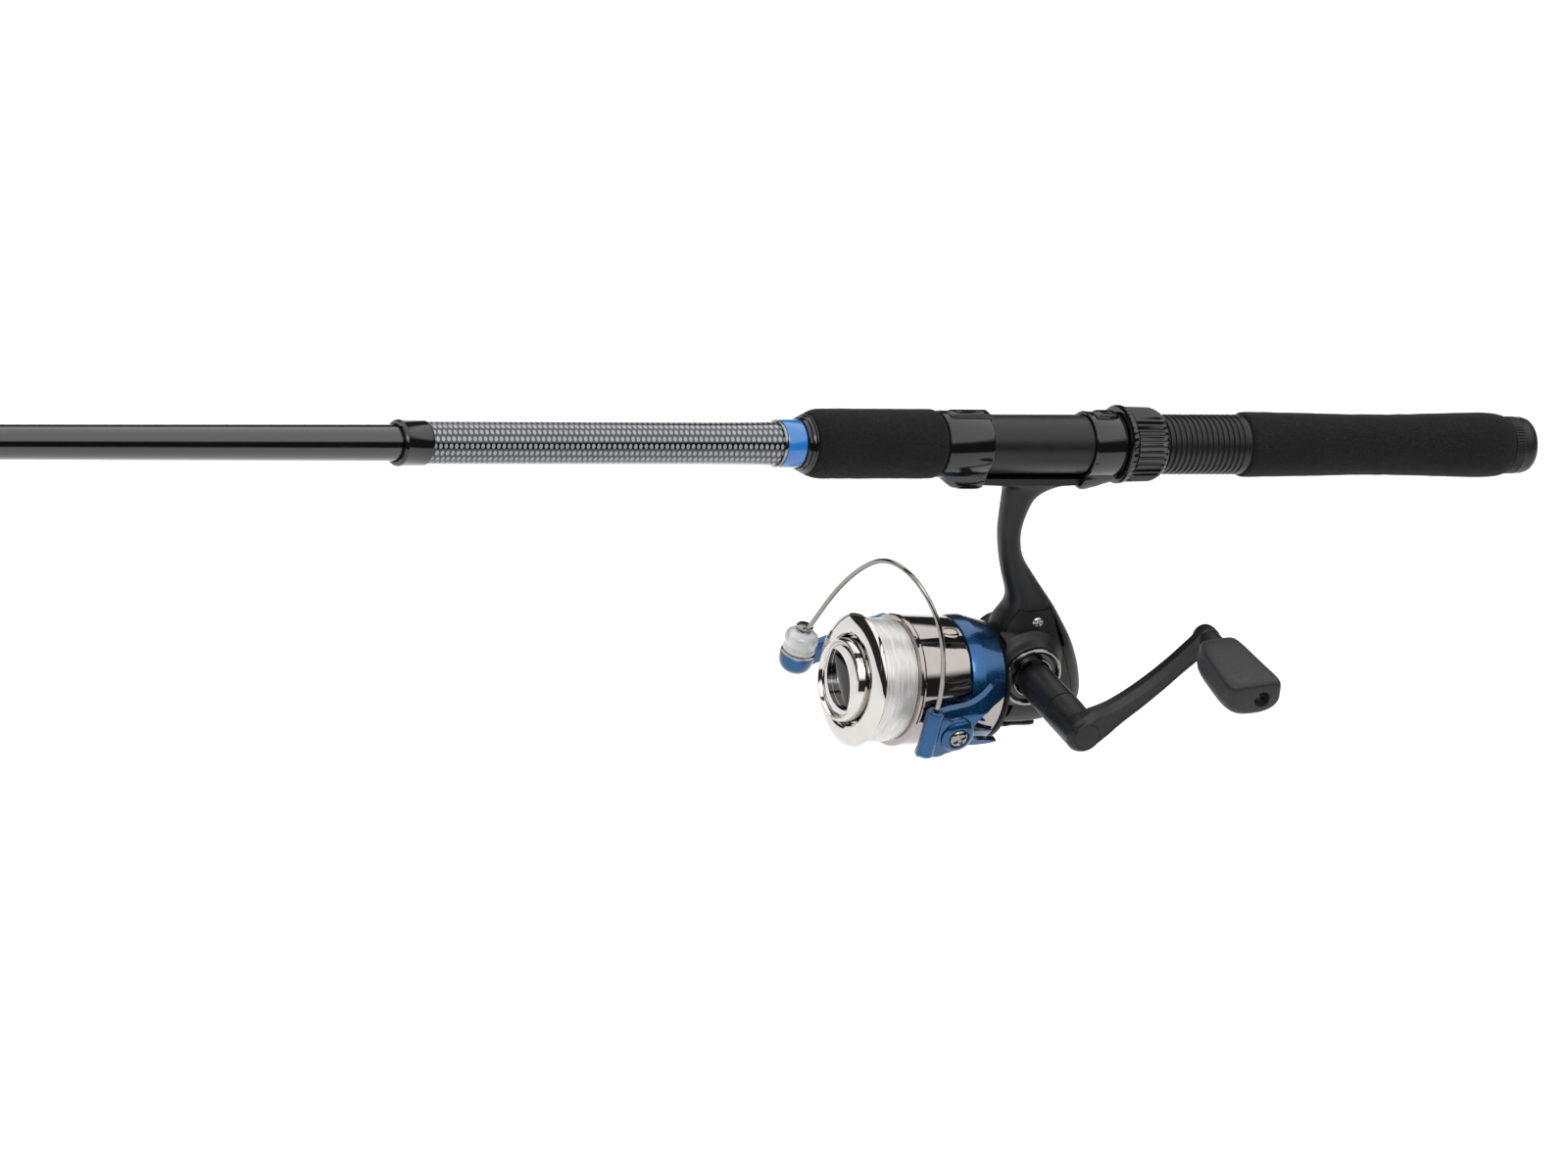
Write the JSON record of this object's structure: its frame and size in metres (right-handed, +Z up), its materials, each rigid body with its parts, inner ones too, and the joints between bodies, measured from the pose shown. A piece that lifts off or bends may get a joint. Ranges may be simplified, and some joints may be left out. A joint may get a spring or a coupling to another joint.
{
  "type": "telescopic fishing rod with spinning reel",
  "caption": "Telescopic rod with a foam-gripped handle, screw-lock reel seat and hanging spinning reel with bail, front drag and folding crank.",
  "frame": {"origin": "on the rod's axis at the middle of the reel seat, where the hand holds the rod around the reel's stem", "axes": "+X along the rod towards the butt, -X towards the tip; +Z up; the reel hangs towards -Z and its crank is on the -Y side"},
  "size_m": [0.9151, 0.1414, 0.1346],
  "materials": {
    "lacquer": "clear-lacquered black composite tube, gloss",
    "blue_gloss": "bright blue gloss ring",
    "eva_foam": "matt black EVA foam with a fine open grain",
    "satin_black": "satin black glass-filled nylon",
    "gloss_black": "polished black moulded plastic",
    "reel_black": "satin black moulded nylon",
    "knob_black": "fine-grained matt black moulded plastic",
    "blue_metallic": "metallic blue lacquer, gloss",
    "chrome_plate": "bright chrome plating",
    "dark_chrome": "dark smoked chrome plating",
    "steel": "polished stainless steel",
    "brass": "machined brass",
    "zinc_alloy": "die-cast zinc alloy",
    "ceramic": "polished grey ceramic",
    "line": "clear nylon monofilament, closely wound",
    "clear_plastic": "translucent white moulded plastic",
    "felt": "pressed drag felt"
  },
  "bodies": {
    "rod_handle": {"butt_blank": "lacquer", "joint_collar": "lacquer", "trim_ring": "steel", "accent_band": "blue_gloss", "grip_check": "satin_black", "fore_grip": "eva_foam", "reel_seat": "satin_black", "rear_grip": "eva_foam", "butt_cap": "gloss_black", "reel_body": "reel_black", "side_cover": "reel_black", "cover_screw_1": "steel", "cover_screw_2": "steel", "crank_collar": "chrome_plate", "crank_bearing": "steel", "screw_cap": "reel_black", "pinion_bearing": "steel"},
    "hood": {"sliding_hood": "gloss_black"},
    "nut": {"lock_nut": "satin_black"},
    "section_2_tube": {"section_2": "lacquer", "guide_frame_2": "steel", "guide_ring_2": "ceramic"},
    "section_3_tube": {"section_3": "lacquer", "guide_frame_3": "steel", "guide_ring_3": "ceramic"},
    "section_4_tube": {"section_4": "lacquer", "guide_frame_4": "steel", "guide_ring_4": "ceramic"},
    "section_5_rod": {"section_5": "lacquer", "guide_frame_5": "steel", "guide_ring_5": "ceramic"},
    "drive": {"crank_shaft": "steel", "crank_sleeve": "reel_black", "drive_gear": "zinc_alloy"},
    "folding_arm": {"crank_arm": "reel_black", "knob_pin": "steel"},
    "knob": {"crank_knob": "knob_black"},
    "oscillator": {"oscillation_gear": "brass"},
    "rotor_body": {"rotor": "blue_metallic", "rotor_rear_band": "dark_chrome", "rotor_nut": "brass", "pinion_gear": "brass", "near_pivot_screw": "steel", "far_pivot_screw": "steel"},
    "bail": {"near_bail_arm": "blue_metallic", "far_bail_arm": "blue_metallic", "bail_wire": "steel"},
    "roller": {"line_roller": "clear_plastic"},
    "spool_shaft": {"main_shaft": "steel", "oscillation_slider": "zinc_alloy"},
    "spool_body": {"spool": "chrome_plate", "line_winding": "line", "drag_washer_1": "felt", "drag_washer_2": "felt"},
    "drag": {"drag_knob": "chrome_plate"},
    "lever": {"anti_reverse_lever": "reel_black"}
  },
  "joints": [
    {"name": "hood_slide", "type": "slide", "parent": "rod_handle", "child": "hood", "axis": [1, 0, 0], "range_m": [0, 0.0132]},
    {"name": "nut_turn", "type": "hinge", "parent": "hood", "child": "nut", "pos_m": [0.038, 0, 0], "axis": [1, 0, 0], "range_deg": [0, 2160]},
    {"name": "section_2_slide", "type": "slide", "parent": "rod_handle", "child": "section_2_tube", "axis": [1, 0, 0], "range_m": [0, 0.398]},
    {"name": "section_3_slide", "type": "slide", "parent": "section_2_tube", "child": "section_3_tube", "axis": [-1, 0, 0], "range_m": [0, 0.398]},
    {"name": "section_4_slide", "type": "slide", "parent": "section_3_tube", "child": "section_4_tube", "axis": [-1, 0, 0], "range_m": [0, 0.398]},
    {"name": "section_5_slide", "type": "slide", "parent": "section_4_tube", "child": "section_5_rod", "axis": [-1, 0, 0], "range_m": [0, 0.398]},
    {"name": "crank_turn", "type": "hinge", "parent": "rod_handle", "child": "drive", "pos_m": [0.0125, 0, -0.086], "axis": [0, 1, 0], "continuous": true},
    {"name": "crank_fold", "type": "hinge", "parent": "drive", "child": "folding_arm", "pos_m": [0.01757, -0.0541, -0.08118], "axis": [-0.689, 0, 0.7248], "range_deg": [0, 20]},
    {"name": "knob_spin", "type": "hinge", "parent": "folding_arm", "child": "knob", "pos_m": [0.053, -0.0845, -0.0475], "axis": [0, 1, 0], "continuous": true},
    {"name": "rotor_spin", "type": "hinge", "parent": "rod_handle", "child": "rotor_body", "pos_m": [-0.01, 0, -0.0965], "axis": [1, 0, 0], "continuous": true},
    {"name": "oscillation_gear_spin", "type": "hinge", "parent": "rod_handle", "child": "oscillator", "pos_m": [0.027, 0.005, -0.098], "axis": [0, 1, 0], "continuous": true},
    {"name": "bail_open", "type": "hinge", "parent": "rotor_body", "child": "bail", "pos_m": [-0.0225, 0, -0.0965], "axis": [0, -0.9925, -0.1219], "range_deg": [0, 88]},
    {"name": "roller_spin", "type": "hinge", "parent": "bail", "child": "roller", "pos_m": [-0.0543, 0.033, -0.0995], "axis": [0, 0, 1], "continuous": true},
    {"name": "spool_stroke", "type": "slide", "parent": "rod_handle", "child": "spool_shaft", "axis": [-1, 0, 0], "range_m": [0, 0.014]},
    {"name": "spool_slip", "type": "hinge", "parent": "spool_shaft", "child": "spool_body", "pos_m": [-0.04, 0, -0.0965], "axis": [1, 0, 0], "continuous": true},
    {"name": "drag_knob_turn", "type": "hinge", "parent": "spool_shaft", "child": "drag", "pos_m": [-0.055, 0, -0.0965], "axis": [1, 0, 0], "continuous": true},
    {"name": "anti_reverse_switch", "type": "hinge", "parent": "rod_handle", "child": "lever", "pos_m": [0.016, 0, -0.1135], "axis": [0, 0, 1], "range_deg": [0, 35]}
  ],
  "couplings": [
    {"joint": "nut_turn", "follows": "hood_slide", "rad_per_m": 2856},
    {"joint": "rotor_spin", "follows": "crank_turn", "ratio": -5},
    {"joint": "oscillation_gear_spin", "follows": "crank_turn", "ratio": -1}
  ]
}
